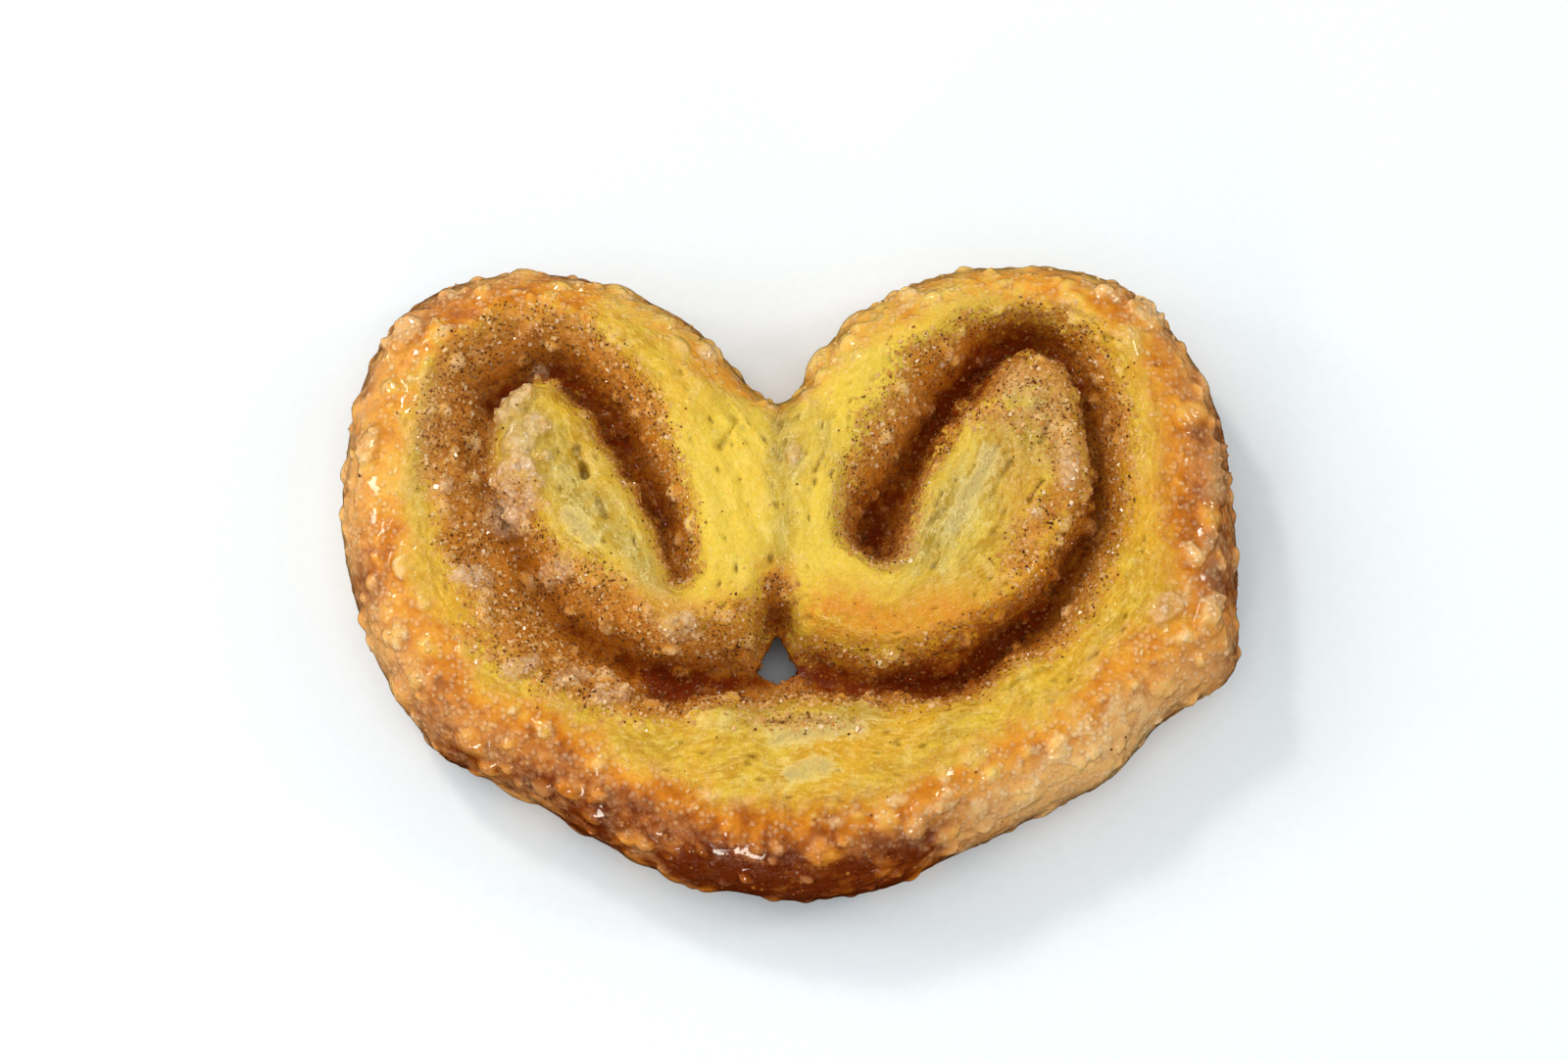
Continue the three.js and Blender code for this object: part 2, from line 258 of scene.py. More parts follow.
def domes(places, seed):
    """Rounded lumps up to one unit wide: 1 at the top of the widest, 0 between them."""
    table = np.random.default_rng(seed).uniform(0, 1, (32, 32, 32, 4))
    low = np.floor(places - 0.5).astype(int)
    best = np.zeros(len(places))
    for offset in np.ndindex(2, 2, 2):
        cell = low + offset
        chance = table[tuple((cell % 32).T)]
        radius = 0.2 + 0.3 * chance[:, 3]
        gap = np.linalg.norm(places - cell - chance[:, :3], axis=1)
        best = np.maximum(best, np.clip(1 - (gap / radius) ** 2, 0, 1) ** 1.5 * radius * 2)
    return best


outline = trace(OUTLINE, closed=True)
right_crease = trace(RIGHT_CREASE)
left_crease = trace(LEFT_CREASE)
seam = trace(SEAM)


def slope_profile(share):
    """How much of a crease's depth is left at a share of the way up its slope."""
    rise = (np.sqrt(share**2 + SOFTNESS**2) - SOFTNESS) / (math.hypot(1, SOFTNESS) - SOFTNESS)
    return np.clip(1 - rise, 0, 1) ** 1.6


def plan(x, y):
    """What lies at each place of the slice, by name."""
    edge, rim = nearest(outline, x, y)
    flat = np.stack([x, y, np.zeros_like(x)], 1)
    calm = ease(np.hypot(x - GAP_X, y - GAP_Y), *GAP_CALM)
    x = x + calm * (0.9 * waves(flat / 6, 11) + 0.35 * waves(flat / 2.2, 12))
    y = y + calm * (0.9 * waves(flat / 6, 13) + 0.35 * waves(flat / 2.2, 14))
    right, right_row = nearest(right_crease, x, y)
    left, left_row = nearest(left_crease, x, y)
    joint, joint_row = nearest(seam, x, y)
    drops, spices, syrups, leaf = [], [], [], np.full_like(x, 99.0)
    for inwards, row in ((right, right_row), (-left, left_row)):
        inner = inwards > 0
        gap = np.abs(inwards)
        slope = np.where(inner, row[:, 4], row[:, 3])
        spice = np.where(inner, row[:, 6], row[:, 5])
        drops.append(row[:, 2] * slope_profile(gap / slope))
        spices.append(spice - gap)
        syrups.append(row[:, 7] - gap)
        leaf = np.minimum(leaf, gap)
    drops.append(joint_row[:, 2] * slope_profile(np.abs(joint) / joint_row[:, 3]))
    drop = sum(d**3 for d in drops) ** (1 / 3)
    swell = 0.5 * waves(flat / 13, 1) + 0.25 * waves(flat / 5, 2)
    half_gap = np.interp(y, *zip(*GAP_HALF_WIDTHS))
    return {
        "edge": edge,
        "crust": rim[:, 2] - edge,
        "toast": rim[:, 3],
        "drop": drop + strokes(PITS, x, y),
        "top": THICKNESS - BLISTER_ROOM + swell,
        "spice": np.maximum(np.maximum(*spices), strokes(DUSTY, x, y) - DUSTY_FROM),
        "syrup": np.maximum(np.maximum(*syrups), strokes(STAINS, x, y) - STAINED_FROM),
        "leaf": leaf,
        "gap": half_gap - np.abs(x - GAP_X),
        "crack": strokes(CRACKS, x, y) * (0.35 + 0.65 * ease(waves(flat / 1.7, 16), -0.4, 0.4)),
        "film": strokes(FILMS, x, y),
        "pale": strokes(PALE, x, y),
        "amber": strokes(AMBER, x, y),
        "heap": strokes(HEAPS, flat[:, 0], flat[:, 1]),
        "milk": strokes(MILK, flat[:, 0], flat[:, 1]),
    }


def smooth_max(a, b, reach):
    """The larger of two distances, rounded off where they cross."""
    return np.maximum(a, b) + np.clip(reach - np.abs(a - b), 0, None) ** 2 / (4 * reach)


# The closed surface of the slice is drawn where the distance field changes sign.
low_corner = np.array([-53.0, -39.0, -2.0])
extent = np.array([106.0, 78.0, 20.5])
counts = (extent / PITCH).astype(int)
axes = [low_corner[i] + PITCH * np.arange(counts[i]) for i in range(3)]
grid_x, grid_y = (g.ravel() for g in np.meshgrid(axes[0], axes[1], indexing="ij"))
here = plan(grid_x, grid_y)
height = axes[2][None, :]
top = (here["top"] - here["drop"] - here["crack"])[:, None]
foot = (BASE + BASE_CREASE * here["drop"])[:, None]
edge = here["edge"][:, None]


def rounded(reach, rise, past):
    """Distance outside a quarter-round whose flat runs at rise and whose side is the outline."""
    u = np.clip(1 - edge / reach, 0, None) ** ROUNDING
    v = np.clip(past / rise, 0, None) ** ROUNDING
    size = (reach * u + rise * v) / (u + v + 1e-9)
    return np.where(u + v > 0.02, ((u + v) ** (1 / ROUNDING) - 1) * size, -BAND)


field = np.where(
    height > WAIST,
    rounded(SHOULDER, np.maximum(top - WAIST, LEAST_RISE), height - WAIST),
    rounded(HEEL, WAIST - foot, WAIST - height),
)
gap = here["gap"][:, None]
undercut = np.clip(WAIST - height, 0, None) * GAP_UNDERCUT * ease(gap, -1.5, -0.2)
field = smooth_max(field, gap + undercut, GAP_ROUNDING)
level_set = openvdb.FloatGrid(BAND)
level_set.copyFromArray(np.clip(field, -BAND, BAND).reshape(counts).astype(np.float32))
points, quads = level_set.convertToQuads(0.0)
points = low_corner + PITCH * points.astype(float)


def outward(points, quads):
    """The unit normal of each point."""
    face = np.cross(points[quads[:, 2]] - points[quads[:, 0]], points[quads[:, 3]] - points[quads[:, 1]])
    total = np.zeros_like(points)
    for corner in range(4):
        for axis in range(3):
            total[:, axis] += np.bincount(quads[:, corner], face[:, axis], len(points))
    return total / np.linalg.norm(total, axis=1)[:, None]


# The crust is blistered by melted sugar, the cinnamon is gritty, and the crumb is ridged along
# its leaves and full of small holes.
here = plan(points[:, 0], points[:, 1])
crust = ease(here["crust"], -1.5, 1.5)
spice = ease(here["spice"], -1, 1) * (1 - crust)
crumb = (1 - crust) * (1 - spice)
stirred = points + 0.5 * np.stack([waves(points / 1.9, seed) for seed in (41, 42, 43)], 1)
large, middle = domes(stirred / 5.6, 3), domes(stirred / 3.4, 4)
small, tiny = domes(stirred / 2, 5), domes(stirred / 1.1, 6)
blisters = 0.9 * np.maximum(large, 0.9 * middle) + 0.22 * small + 0.04 * tiny - BLISTER_SINK
grit, knots = domes(stirred / 1.15, 7), domes(stirred / 3, 8)
grains = 0.2 * grit + 1.1 * knots - 0.2
along = np.stack([points[:, 0] / 7, points[:, 1] / 7, here["leaf"] / 1.1], 1)
holes = domes(along * (3.2, 3.2, 1), 15)
leaves = 0.25 * waves(along, 8) + 0.15 * waves(points, 9) - 0.7 * holes**2
calmer_wall = 1 - 0.4 * ease(WAIST + 4 - points[:, 2], 0, 4)
lift = crust * blisters * calmer_wall + spice * grains + crumb * leaves * (1 - here["film"])
heap = here["heap"] * (1 + 0.6 * waves(points / 1.7, 35))
heap = ease(heap, 0.25, 0.6) * here["heap"] ** 0.3
lift += heap * (0.6 + 0.8 * small + 0.4 * tiny) * ease(points[:, 2], WAIST, WAIST + 3)
lift *= 1 - 0.7 * ease(3 - points[:, 2], 0, 2)
low_down = 1 - ease(points[:, 2], 0, WAIST + 3)
milky = np.maximum(ease(middle, 0.1, 0.45), 0.7 * ease(large, 0.15, 0.5)) * (0.55 + 0.6 * small)
milky = milky * ease(waves(points / 8, 30), -0.9, 0.1)
milk = here["milk"] + 0.7 * waves(points / 2.2, 33) + 0.6 * waves(points / 1.1, 34)
milky = np.maximum(milky, ease(milk, 0.5, 1.3) * (1 - 0.8 * low_down))
points += outward(points, quads) * lift[:, None]
points[:, 2] = np.maximum(points[:, 2], 0)

thick_mesh = bpy.data.meshes.new("palmier_dough")
thick_mesh.from_pydata(points, [], quads.tolist())


def note(name, values):
    """Stores one number for each point of the dough, for its finish and its sugar to read."""
    thick_mesh.attributes.new(name, "FLOAT", "POINT").data.foreach_set("value", values.astype(np.float32))


on_top = ease(points[:, 2], WAIST - 2, WAIST + 1)
off_the_tray = ease(points[:, 2], 0.3, 0.8)
note("crust", here["crust"])
toast = here["toast"] + (0.6 + 0.3 * waves(points / 7, 36) - here["toast"]) * 0.75 * low_down
note("toast", toast * (0.45 + 0.5 * ease(here["crust"], 0, 8) + 0.14 * low_down))
note("spice", here["spice"])
note("leaf", here["leaf"])
note("syrup", here["syrup"])
note("amber", here["amber"])
note("pale", here["pale"])
note("crack", here["crack"])
note("film", here["film"])
note("hole", holes)
note("grit", 0.75 * grit + 0.5 * knots)
note("blister", (blisters + BLISTER_SINK) / BLISTER_RISE)
note("knot", knots)
note("sugar", np.maximum(milky * crust, np.clip(heap, 0, 1)))
unmelted = 1 - 0.6 * ease(here["syrup"], 0, 1.5)
caught = ease(here["spice"], -1.5, 0.5) * unmelted * (1 - crust)
note("sow_grains", np.maximum(caught, 0.03 * crust * on_top) * off_the_tray)
clusters = 0.3 + 1.3 * ease(waves(points / 2.2, 31), -0.4, 0.6)
unburied = 1 - 0.7 * np.clip(heap, 0, 1)
note("sow_flecks", ease(here["spice"], -1.8, 1.2) * clusters * unburied * off_the_tray + 0.01 * on_top)

holder = bpy.data.objects.new("thick_dough", thick_mesh)
bpy.context.collection.objects.link(holder)
thinner = holder.modifiers.new("thinner", "DECIMATE")
thinner.ratio = TRIANGLES / (2 * len(quads))
thinner.use_collapse_triangulate = True
graph = bpy.context.evaluated_depsgraph_get()
mesh = bpy.data.meshes.new_from_object(holder.evaluated_get(graph), depsgraph=graph)
bpy.data.objects.remove(holder)
mesh.transform(Matrix.Scale(MM, 4))
mesh.shade_smooth()
dough = bpy.data.objects.new("palmier_dough", mesh)
bpy.context.collection.objects.link(dough)


class Tree:
    """A node tree in the making. Every node of it comes from one method."""

    def node(self, kind, settings=(), inputs=()):
        """Adds a node, sets it, joins or fills its sockets, and gives its outputs by name."""
        node = self.tree.nodes.new(self.family.get(kind, self.prefix) + kind)
        for name, value in dict(settings).items():
            if name == "stops":
                ramp = node.color_ramp
                while len(ramp.elements) < len(value):
                    ramp.elements.new(1)
                for element, (place, colour) in zip(ramp.elements, value):
                    element.position = place
                    element.color = (*colour, 1)
            else:
                setattr(node, name, value)
        for name, value in dict(inputs).items():
            socket = node.inputs[name]
            if isinstance(value, Channel):
                self.tree.links.new(value.socket, socket)
            elif socket.type == "RGBA":
                socket.default_value = (*value, 1)
            else:
                socket.default_value = value
        return {output.name: Channel(self, output) for output in node.outputs if output.enabled}


class Finish(Tree):
    """A material in the making."""

    prefix = "ShaderNode"
    family = {}

    def __init__(self, name):
        self.material = bpy.data.materials.new(name)
        self.material.use_nodes = True
        self.tree = self.material.node_tree
        self.tree.nodes.clear()

    def attribute(self, name):
        return self.node("Attribute", {"attribute_name": name})["Fac"]

    def noise(self, scale, detail=2.0, roughness=0.5, vector=None):
        """Noise from 0 to 1 whose lumps are about 1/scale wide."""
        inputs = {"Scale": scale, "Detail": detail, "Roughness": roughness, "Vector": vector or self.place}
        return self.node("TexNoise", inputs=inputs)["Fac"]

    @property
    def place(self):
        return self.node("TexCoord")["Object"]

    def blend(self, factor, a, b, mode="MIX"):
        """One colour over another."""
        settings = {"data_type": "RGBA", "blend_type": mode}
        return self.node("Mix", settings, {0: factor, 6: a, 7: b})["Result"]


class Channel:
    """A socket of a tree. Sums written with it become Math nodes."""

    def __init__(self, owner, socket):
        self.owner = owner
        self.socket = socket

    def math(self, operation, *terms):
        inputs = dict(enumerate(terms))
        return self.owner.node("Math", {"operation": operation}, inputs)["Value"]

    def __add__(self, other):
        return self.math("ADD", self, other)

    def __sub__(self, other):
        return self.math("SUBTRACT", self, other)

    def __rsub__(self, other):
        return self.math("SUBTRACT", other, self)

    def __mul__(self, other):
        return self.math("MULTIPLY", self, other)

    __radd__ = __add__
    __rmul__ = __mul__

    def ease(self, low, high, to_low=0.0, to_high=1.0):
        """to_low below low and to_high above high, with a smooth rise between them."""
        inputs = {"Value": self, "From Min": low, "From Max": high, "To Min": to_low, "To Max": to_high}
        return self.owner.node("MapRange", {"interpolation_type": "SMOOTHSTEP"}, inputs)["Result"]


RIND = [
    (0.0, (0.86, 0.58, 0.13)), (0.2, (0.84, 0.48, 0.08)), (0.4, (0.80, 0.34, 0.032)),
    (0.6, (0.63, 0.20, 0.010)), (0.8, (0.35, 0.078, 0.003)), (1.0, (0.16, 0.021, 0.001)),
]  # the crust, from barely baked to caramelised
baked = Finish("baked_dough")
fine = baked.noise(2600, 3, 0.6)
medium = baked.noise(700, 3, 0.6)
patches = baked.noise(260, 2, 0.5)
broad = baked.noise(120, 2, 0.5)
leaf = baked.attribute("leaf")
xyz = baked.node("SeparateXYZ", inputs={0: baked.place})
stretched = baked.node("CombineXYZ", inputs={0: xyz["X"] * 330, 1: xyz["Y"] * 330, 2: leaf * 0.9})["Vector"]
layers = baked.noise(1.0, 4, 0.6, stretched)
finer_layers = baked.noise(3.0, 3, 0.6, stretched)
crystals = baked.node("TexVoronoi", inputs={"Scale": 1500.0, "Vector": baked.place})
facet = baked.node("SeparateColor", inputs={0: crystals["Color"]})["Red"]

crust = (baked.attribute("crust") + (medium - 0.5) * 4 + (broad - 0.5) * 3).ease(-1.8, 2)
spice = (baked.attribute("spice") + (fine - 0.5) * 7 + (medium - 0.5) * 6).ease(-1.2, 1.6)
depth = baked.attribute("syrup")
syrup = (depth + (medium - 0.5) * 6 + (fine - 0.5) * 5 + (broad - 0.5) * 4 - 0.4).ease(-1.5, 1.5)
pale = baked.attribute("pale")
amber = baked.attribute("amber")
sugar = baked.attribute("sugar")
toast = baked.attribute("toast") + (broad - 0.5) * 0.6 + (medium - 0.5) * 0.55

dots = baked.node("TexVoronoi", inputs={"Scale": 2600.0, "Vector": baked.place})
chance = baked.node("SeparateColor", inputs={"Color": dots["Color"]})["Green"]
hole = baked.attribute("hole")
film = baked.attribute("film")
grit = baked.attribute("grit") + (fine - 0.5) * 1.5
yellow = baked.blend(layers.ease(0.35, 0.65), (0.56, 0.29, 0.006), (0.75, 0.48, 0.03))
yellow = baked.blend(broad.ease(0.42, 0.65, 0, 0.7), yellow, (0.74, 0.37, 0.009))
yellow = baked.blend(finer_layers.ease(0.5, 0.64, 0, 0.35), yellow, (0.90, 0.70, 0.17))
yellow = baked.blend((medium * 0.5 + patches * 0.5).ease(0.5, 0.62, 0, 0.5), yellow, (0.84, 0.62, 0.17))
greenish = baked.blend(layers.ease(0.35, 0.6), (0.38, 0.25, 0.016), (0.60, 0.455, 0.125))
yellow = baked.blend(pale * medium.ease(0.3, 0.6, 0.5, 0.9), yellow, greenish)
yellow = baked.blend(finer_layers.ease(0.46, 0.34, 0, 0.4), yellow, (0.46, 0.24, 0.006))
barely_baked = baked.attribute("toast").ease(0.04, 0.19, 0.6, 0)
yellow = baked.blend(barely_baked * (1 - pale), yellow, (0.90, 0.68, 0.075))
yellow = baked.blend(amber * medium.ease(0.3, 0.6, 0.4, 1), yellow, (0.72, 0.27, 0.010))
# Painted shade: the crumb is darkened inside its small holes and its cracks.
yellow = baked.blend(hole.ease(0.3, 0.9, 0, 0.6), yellow, (0.42, 0.22, 0.008))
yellow = baked.blend(baked.attribute("crack").ease(0.2, 1.1, 0, 0.7), yellow, (0.34, 0.18, 0.008))
film = film + (medium - 0.5) * 0.5
film = film + (finer_layers - 0.5) * 1.2
yellow = baked.blend(film.ease(0.1, 0.5, 0, 0.35), yellow, (0.92, 0.76, 0.32))
yellow = baked.blend(film.ease(0.4, 1, 0, 0.75), yellow, (0.50, 0.37, 0.12))
strings = (baked.noise(2.2, 2, 0.5, stretched) - 0.5) * 26
strings = (strings * strings * -1 + 1).ease(0.2, 1) * medium.ease(0.42, 0.58) * (pale * 0.6 + 0.1)
yellow = baked.blend(strings, yellow, (0.95, 0.80, 0.34))
# Painted highlights: small bright specks across the crumb.
yellow = baked.blend(fine.ease(0.62, 0.72, 0, 0.6), yellow, (0.96, 0.84, 0.46))
# Painted shade: the crumb is darkened in small pores where it is pale and open.
pores = dots["Distance"].ease(0.4, 0.15) * chance.ease(0.45, 0.7)
yellow = baked.blend(pores * pale * 0.3, yellow, (0.50, 0.32, 0.020))

blister = baked.attribute("blister")
# Painted shade: the crust is made darker in the hollows between its blisters, on top of how darkly it is
# baked.
bake_and_hollow_shade = toast + blister.ease(0, 0.55, 0.2, -0.05) + (patches - 0.5) * 0.8
rind = baked.node("ValToRGB", {"stops": RIND}, {0: bake_and_hollow_shade})["Color"]
crystalline = (sugar + blister * 0.7 + (medium - 0.5) * 2 + (patches - 0.5) * 2.5 - 0.4).ease(0.05, 1)
white = baked.blend(toast.ease(0.2, 0.8), (0.93, 0.62, 0.25), (0.80, 0.42, 0.16))
cloudy = crystalline * medium.ease(0.35, 0.65, 0.55, 0.9) * toast.ease(0.45, 0.95, 1, 0.15)
rind = baked.blend(cloudy, rind, white)
# The rim's crust is paler where it is lightly baked, and this peach also paints the light that glows
# through its thin edge.
rim = baked.attribute("crust").ease(2, 8)
rind = baked.blend(rim * toast.ease(0.8, 0.3, 0, 0.55), rind, (0.93, 0.60, 0.26))
beads = crystals["Distance"].ease(0.75, 0.25) * facet.ease(0.35, 0.7)
beaded = beads * (crystalline * 0.4 + 0.3) * toast.ease(0.4, 0.85, 1, 0)
rind = baked.blend(beaded, rind, (0.96, 0.68, 0.38))
rind = baked.blend(fine.ease(0.42, 0.32, 0, 0.4), rind, (0.66, 0.30, 0.04), "MULTIPLY")

specks = dots["Distance"].ease(0.42, 0.25) * chance.ease(0.5, 0.7, 0, 0.8)
cinnamon = baked.blend(grit.ease(0.0, 0.6), (0.74, 0.32, 0.045), (0.95, 0.58, 0.21))
cinnamon = baked.blend(broad.ease(0.4, 0.65, 0, 0.5), cinnamon, (0.74, 0.33, 0.03))
knot = baked.attribute("knot") + (medium - 0.5)
cinnamon = baked.blend(knot.ease(0.25, -0.1, 0, 0.75), cinnamon, (0.46, 0.13, 0.006))
cinnamon = baked.blend(knot.ease(0.3, 0.7, 0, 0.75), cinnamon, (0.80, 0.53, 0.26))
cinnamon = baked.blend(medium.ease(0.45, 0.3, 0, 0.5), cinnamon, (0.34, 0.10, 0.008))
cinnamon = baked.blend(facet.ease(0.7, 0.95, 0, 0.5) * grit.ease(0.3, 0.8), cinnamon, (0.86, 0.58, 0.32))
cinnamon = baked.blend(pale * medium.ease(0.35, 0.6, 0.2, 0.7), cinnamon, (0.78, 0.54, 0.22))
cinnamon = baked.blend(amber * 0.6, cinnamon, (0.60, 0.20, 0.008))
cinnamon = baked.blend(specks, cinnamon, (0.13, 0.026, 0.004))
clear = baked.blend(pale, (0.72, 0.42, 0.22), (0.80, 0.56, 0.26))
flawed = baked.blend(medium.ease(0.4, 0.6), (0.58, 0.28, 0.10), (0.92, 0.70, 0.46))
clear = baked.blend(facet * 0.6, clear, flawed)
clear = baked.blend(crystals["Distance"].ease(0.35, 0.7, 0, 0.2), clear, (0.60, 0.30, 0.10))
# Painted highlights: small near-white specks on the sugar lumps.
clear = baked.blend(fine.ease(0.6, 0.66, 0, 0.8), clear, (0.99, 0.93, 0.84))
pooled = (depth + (broad - 0.5) * 4 + (medium - 0.5) * 4).ease(-0.2, 2.6)
molasses = baked.blend(pooled, (0.55, 0.17, 0.008), (0.19, 0.021, 0.0012))
# Painted highlights: light specks on the syrup.
molasses = baked.blend(fine.ease(0.62, 0.72, 0, 0.4), molasses, (0.66, 0.30, 0.10))
cinnamon = baked.blend(syrup, cinnamon, molasses)

colour = baked.blend(spice, yellow, cinnamon)
colour = baked.blend(sugar * (medium * 0.6 + patches * 0.4).ease(0.35, 0.6, 0.35, 0.95), colour, clear)
colour = baked.blend(crust, colour, rind)

wet = syrup * spice
glassy = baked.noise(420, 2, 0.5) * sugar * 1.6
facets = crystals["Distance"] * sugar * (1 - crust) * -0.7 + beads * crust * 0.5 + glassy
rough = fine * 0.35 + baked.noise(1300, 3, 0.7) * (sugar * -0.35 + 0.6)
fibres = finer_layers * 0.3 + strings * 0.12 - pores * pale * 0.3
relief = (rough * (crust * -0.5 + 1) + fibres * (1 - crust) + facets) * (wet * -0.55 + 1)
bump = baked.node("Bump", inputs={"Strength": 1.0, "Distance": 0.00045, "Height": relief})["Normal"]
surface = baked.node("BsdfPrincipled", inputs={
    "Base Color": colour,
    "Roughness": crust.ease(0, 1, 0.28, 0.15) - spice * 0.06 - wet * 0.12 - sugar * 0.04,
    "Specular IOR Level": 0.6,
    "Subsurface Weight": 0.35,
    "Subsurface Radius": (1.0, 0.5, 0.2),
    "Subsurface Scale": 0.001,
    "Coat Weight": crust * 0.65 + spice * 0.1 + wet * 0.15 + sugar * 0.6 + 0.15,
    "Coat Roughness": 0.06,
    "Normal": bump,
})["BSDF"]
baked.node("OutputMaterial", inputs={"Surface": surface})
mesh.materials.append(baked.material)
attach(dough, "root")
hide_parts("palmier")

# The sugar and cinnamon: loose grains of sugar caught on the slopes of the creases, a few on the
# crust, and dark flecks of ground cinnamon. They were strewn on the sheet before it was rolled and
# on the slice before it was baked, so each grain sits a little way in.
FULL_TURN = 6.283


class Recipe(Tree):
    """A geometry node tree in the making, with named inputs for its sizes."""

    prefix = "GeometryNode"
    family = {"Math": "ShaderNode", "VectorMath": "ShaderNode", "RandomValue": "FunctionNode"}

    def __init__(self, name, **inputs):
        self.tree = bpy.data.node_groups.new(name, "GeometryNodeTree")
        self.tree.interface.new_socket("Geometry", in_out="OUTPUT", socket_type="NodeSocketGeometry")
        self.tree.interface.new_socket("Geometry", in_out="INPUT", socket_type="NodeSocketGeometry")
        for label, kind in inputs.items():
            self.tree.interface.new_socket(label, in_out="INPUT", socket_type="NodeSocket" + kind)
        group = self.tree.nodes.new("NodeGroupInput")
        self.given = {output.name: Channel(self, output) for output in group.outputs}

    def chance(self, low, high, seed):
        """A number, or a number for each axis, drawn for each point between low and high."""
        kind, ends = ("FLOAT_VECTOR", (0, 1)) if isinstance(low, tuple) else ("FLOAT", (2, 3))
        inputs = {ends[0]: low, ends[1]: high, "Seed": seed}
        return self.node("RandomValue", {"data_type": kind}, inputs)["Value"]

    def scaled(self, vector, factor):
        return self.node("VectorMath", {"operation": "SCALE"}, {0: vector, "Scale": factor})["Vector"]

    def finish(self, geometry):
        last = self.tree.nodes.new("NodeGroupOutput")
        self.tree.links.new(geometry.socket, last.inputs["Geometry"])

    def run(self, carrier, name, **values):
        """The plain mesh that the tree makes of a copy of the carrier's mesh."""
        holder = bpy.data.objects.new(name + "_holder", carrier.data)
        bpy.context.collection.objects.link(holder)
        modifier = holder.modifiers.new("tree", "NODES")
        modifier.node_group = self.tree
        for socket in self.tree.interface.items_tree:
            if socket.in_out == "INPUT" and socket.name in values:
                modifier[socket.identifier] = values[socket.name]
        graph = bpy.context.evaluated_depsgraph_get()
        made = bpy.data.meshes.new_from_object(holder.evaluated_get(graph), depsgraph=graph)
        bpy.data.objects.remove(holder)
        made.name = name
        piece = bpy.data.objects.new(name, made)
        bpy.context.collection.objects.link(piece)
        return piece


def sprinkle(name, sown):
    """A tree that sows grains over a surface, as thickly as the attribute called sown says."""
    sizes = {"Density": "Float", "Smallest": "Float", "Largest": "Float", "Sunk": "Float"}
    recipe = Recipe(name, **sizes, Seed="Int", Finish="Material")
    given = recipe.given
    seed = given["Seed"]
    share = recipe.node("InputNamedAttribute", {"data_type": "FLOAT"}, {"Name": sown})["Attribute"]
    field = {"Mesh": given["Geometry"], "Density": share * given["Density"], "Seed": seed}
    sow = recipe.node("DistributePointsOnFaces", {}, field)
    luck = recipe.chance(0.0, 1.0, seed)
    size = given["Smallest"] + (given["Largest"] - given["Smallest"]) * luck * luck
    sink = recipe.scaled(sow["Normal"], size * given["Sunk"] * -1)
    seeds = recipe.node("SetPosition", {}, {"Geometry": sow["Points"], "Offset": sink})["Geometry"]
    stored = {"Geometry": seeds, "Name": "tone", "Value": recipe.chance(0.0, 1.0, seed + 5)}
    settings = {"data_type": "FLOAT", "domain": "POINT"}
    seeds = recipe.node("StoreNamedAttribute", settings, stored)["Geometry"]
    grain = recipe.node("MeshCube")["Mesh"]
    scale = recipe.scaled(recipe.chance((0.6,) * 3, (1.3,) * 3, seed + 2), size)
    turn = recipe.chance((0,) * 3, (FULL_TURN,) * 3, seed + 3)
    placed = {"Points": seeds, "Instance": grain, "Rotation": turn, "Scale": scale}
    grains = recipe.node("InstanceOnPoints", {}, placed)["Instances"]
    whole = recipe.node("RealizeInstances", {}, {"Geometry": grains})["Geometry"]
    whole = recipe.node("SetShadeSmooth", {}, {"Geometry": whole, "Shade Smooth": False})["Geometry"]
    dressed = {"Geometry": whole, "Material": given["Finish"]}
    recipe.finish(recipe.node("SetMaterial", {}, dressed)["Geometry"])
    return recipe


dusting = Finish("cinnamon_sugar")
tone = dusting.attribute("tone")
dusty = dusting.blend(tone.ease(0.1, 0.9), (0.56, 0.25, 0.045), (0.78, 0.46, 0.19))
dusty = dusting.blend(tone.ease(0.92, 0.98), dusty, (0.88, 0.64, 0.40))
dusty = dusting.blend(dusting.attribute("syrup").ease(-0.8, 1.2, 0, 0.85), dusty, (0.28, 0.06, 0.003))
clear = dusting.blend(dusting.attribute("toast").ease(0.2, 0.8), (0.88, 0.58, 0.24), (0.42, 0.14, 0.02))
dusty = dusting.blend(dusting.attribute("crust").ease(-1, 1), dusty, clear)
surface = dusting.node("BsdfPrincipled", inputs={
    "Base Color": dusty, "Roughness": 0.15, "Specular IOR Level": 0.6, "Subsurface Weight": 0.3,
    "Subsurface Radius": (1.0, 0.6, 0.3), "Subsurface Scale": 0.0003,
})["BSDF"]
dusting.node("OutputMaterial", inputs={"Surface": surface})
grains_tree = sprinkle("sugar_grains", "sow_grains")
sugar_grains = grains_tree.run(
    dough, "sugar_grains", Density=2.6e6, Smallest=0.16 * MM, Largest=0.5 * MM, Sunk=0.22, Seed=3,
    Finish=dusting.material,
)

ground = Finish("ground_cinnamon")
bark = ground.blend(ground.attribute("tone"), (0.07, 0.016, 0.003), (0.32, 0.10, 0.016))
surface = ground.node("BsdfPrincipled", inputs={
    "Base Color": bark, "Roughness": 0.6, "Specular IOR Level": 0.2,
})["BSDF"]
ground.node("OutputMaterial", inputs={"Surface": surface})
flecks_tree = sprinkle("cinnamon_flecks", "sow_flecks")
cinnamon_flecks = flecks_tree.run(
    dough, "cinnamon_flecks", Density=2.4e6, Smallest=0.09 * MM, Largest=0.24 * MM, Sunk=-0.1, Seed=14,
    Finish=ground.material,
)
for piece in (sugar_grains, cinnamon_flecks):
    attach(piece, "root")
    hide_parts("palmier")

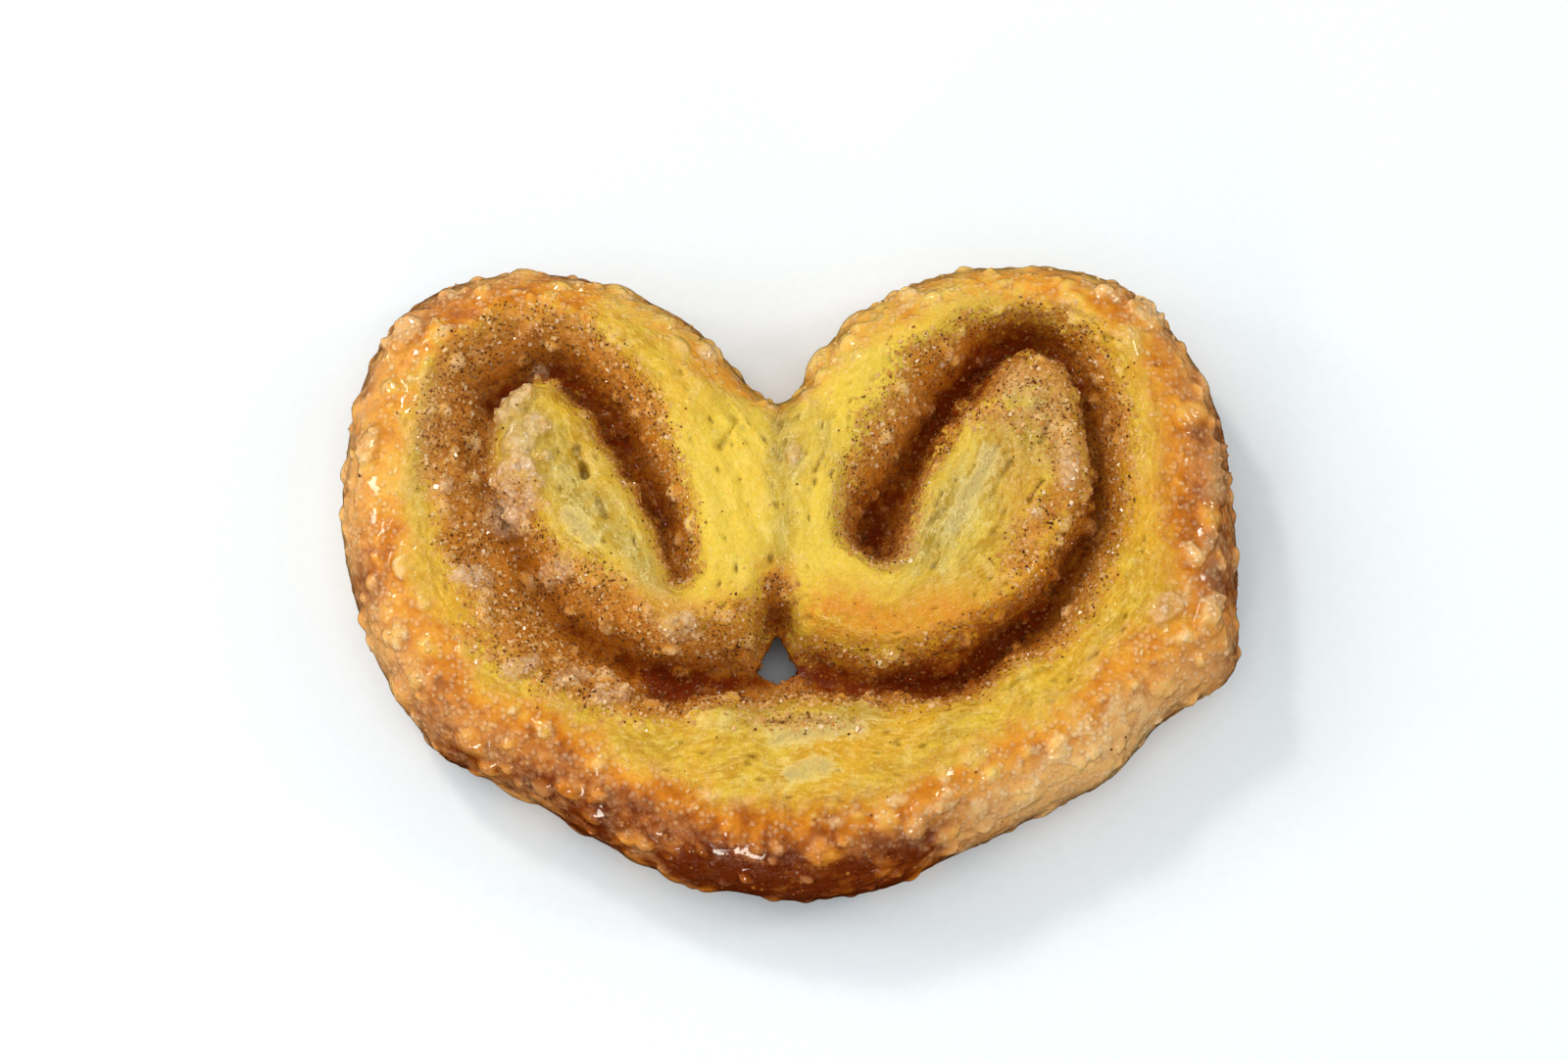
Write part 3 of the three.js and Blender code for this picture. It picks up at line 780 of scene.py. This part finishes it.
# The table: a plain pale sheet that runs well past the view. Wide soft lamps stand all round it,
# and four small bulbs put the glints on the melted sugar. Only the bulbs are mirrored in it.
bpy.ops.mesh.primitive_plane_add(size=6)
table = bpy.context.object
table.name = "table"
pale_top = Finish("pale_table")
grain = pale_top.noise(900, 2, 0.5)
tone = pale_top.blend(grain.ease(0.3, 0.7, 0, 0.35), (0.82, 0.87, 0.90), (0.86, 0.905, 0.93))
matt = pale_top.node("BsdfPrincipled", inputs={"Base Color": tone, "Roughness": 0.6})["BSDF"]
pale_top.node("OutputMaterial", inputs={"Surface": matt})
table.data.materials.append(pale_top.material)
table.visible_glossy = False


def lamp(name, place, aim, size, power, colour=(1, 1, 1), glint=False):
    """A square soft lamp that points from its place at its aim."""
    light = bpy.data.lights.new(name, "AREA")
    light.size = size
    light.energy = power
    light.color = colour
    body = bpy.data.objects.new(name, light)
    body.location = place
    body.rotation_euler = (body.location - Vector(aim)).to_track_quat("Z", "Y").to_euler()
    body.visible_glossy = glint
    bpy.context.collection.objects.link(body)


COOL = (0.95, 0.98, 1)
WARM = (1, 0.92, 0.8)
lamp("ceiling", (0, -0.01, 0.7), (0, -0.01, 0), 0.5, 1.18)
lamp("window", (-0.5, 0.4, 0.5), (0, 0, 0), 0.35, 1.45)
lamp("right_wall", (0.6, 0.2, 0.35), (0, 0, 0), 0.6, 1.3, COOL)
lamp("left_wall", (-0.6, 0, 0.3), (0, 0, 0), 0.5, 1.0)
lamp("left_front", (-0.45, -0.5, 0.5), (0, 0, 0), 0.6, 0.9, COOL)
lamp("right_front", (0.5, -0.5, 0.4), (0, 0, 0), 0.6, 0.7, (0.9, 0.96, 1))
lamp("bulb", (-0.3, 0.38, 0.5), (0, 0, 0), 0.08, 1.0, WARM, glint=True)
lamp("second_bulb", (0.5, 0.1, 0.36), (0, 0, 0), 0.09, 0.45, WARM, glint=True)
lamp("left_bulb", (-0.52, 0.1, 0.3), (0, 0, 0), 0.09, 0.4, WARM, glint=True)
lamp("front_bulb", (-0.15, -0.55, 0.22), (0, 0, 0), 0.1, 0.6, WARM, glint=True)
world = bpy.data.worlds.new("studio")
world.use_nodes = True
sky = world.node_tree.nodes["Background"].inputs
sky["Color"].default_value = (0.88, 0.95, 1, 1)
sky["Strength"].default_value = 0.34
world.cycles_visibility.glossy = False
bpy.context.scene.world = world
bpy.context.scene.view_settings.view_transform = "Standard"

# The camera looks down at the table from in front, 76 degrees above it.
camera = bpy.data.objects.new("camera", bpy.data.cameras.new("camera"))
camera.data.lens = 85
elevation = math.radians(76)
distance = 0.408
aim = Vector((-0.00065, 0.0052, 0.008))
camera.location = aim + distance * Vector((0, -math.cos(elevation), math.sin(elevation)))
camera.rotation_euler = (math.pi / 2 - elevation, 0, 0)
bpy.context.collection.objects.link(camera)
bpy.context.scene.camera = camera
